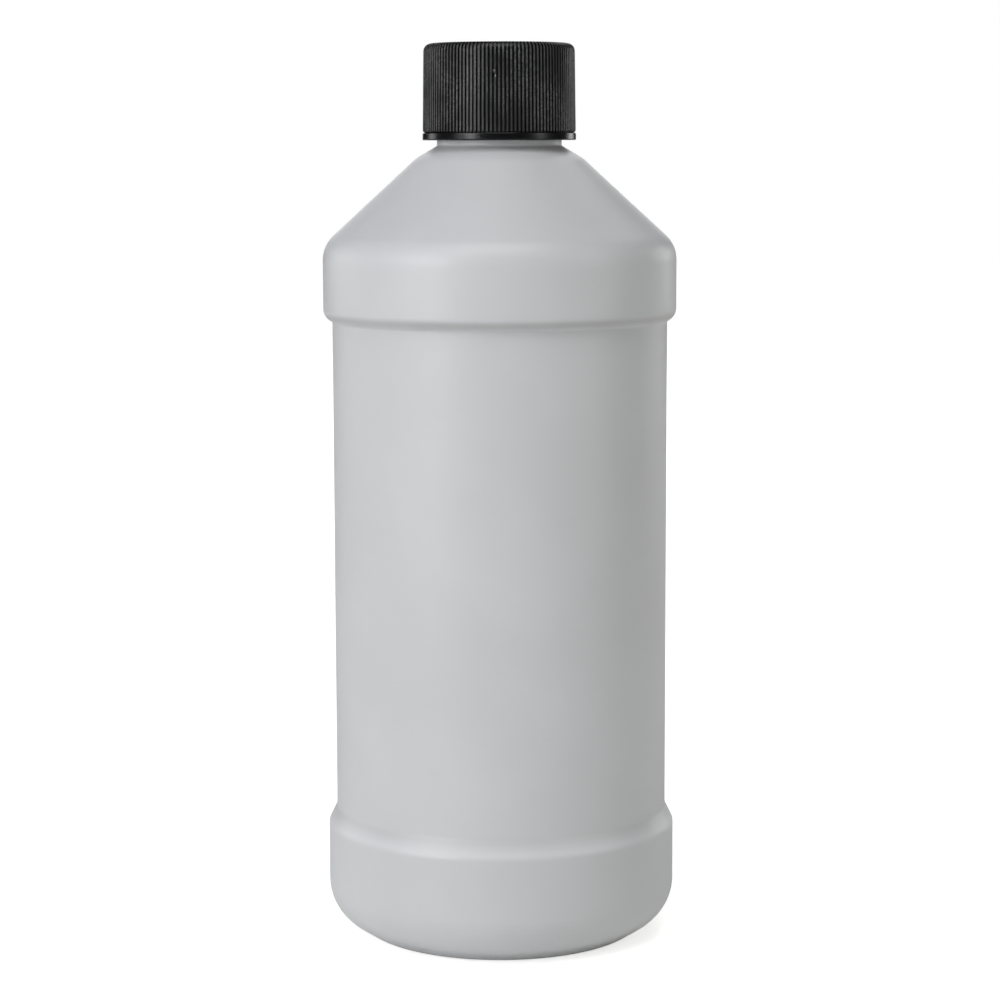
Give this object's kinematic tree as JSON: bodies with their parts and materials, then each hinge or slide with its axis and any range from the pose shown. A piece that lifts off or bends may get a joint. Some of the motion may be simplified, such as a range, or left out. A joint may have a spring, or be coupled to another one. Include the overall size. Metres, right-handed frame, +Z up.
{
  "type": "round plastic bottle",
  "caption": "Round blow-moulded plastic bottle with a recessed label panel, a cone-shaped shoulder, a threaded neck and a ribbed screw cap with a liner.",
  "frame": {"origin": "centre of the standing ring, on the surface that the bottle stands on", "axes": "+Z up along the axis of the bottle, neck and cap; -Y towards the picture's camera; +X to the right in it"},
  "size_m": [0.0712, 0.0712, 0.1802],
  "materials": {
    "bottle": "satin, pale grey-white polyethylene with a very fine grain",
    "cap": "satin black polypropylene",
    "liner": "matte white foam"
  },
  "bodies": {
    "bottle": {"bottle": "bottle"},
    "cap_carrier": {"liner": "liner"},
    "cap": {"cap": "cap"}
  },
  "joints": [
    {"name": "cap_lift", "type": "slide", "parent": "bottle", "child": "cap_carrier", "axis": [0, 0, 1], "range_m": [0, 0.0254]},
    {"name": "cap_turn", "type": "hinge", "parent": "cap_carrier", "child": "cap", "pos_m": [0, 0, 0.17], "axis": [0, 0, 1], "range_deg": [0, 2160]}
  ],
  "couplings": [
    {"joint": "cap_lift", "follows": "cap_turn", "m_per_rad": 0.0006737}
  ]
}
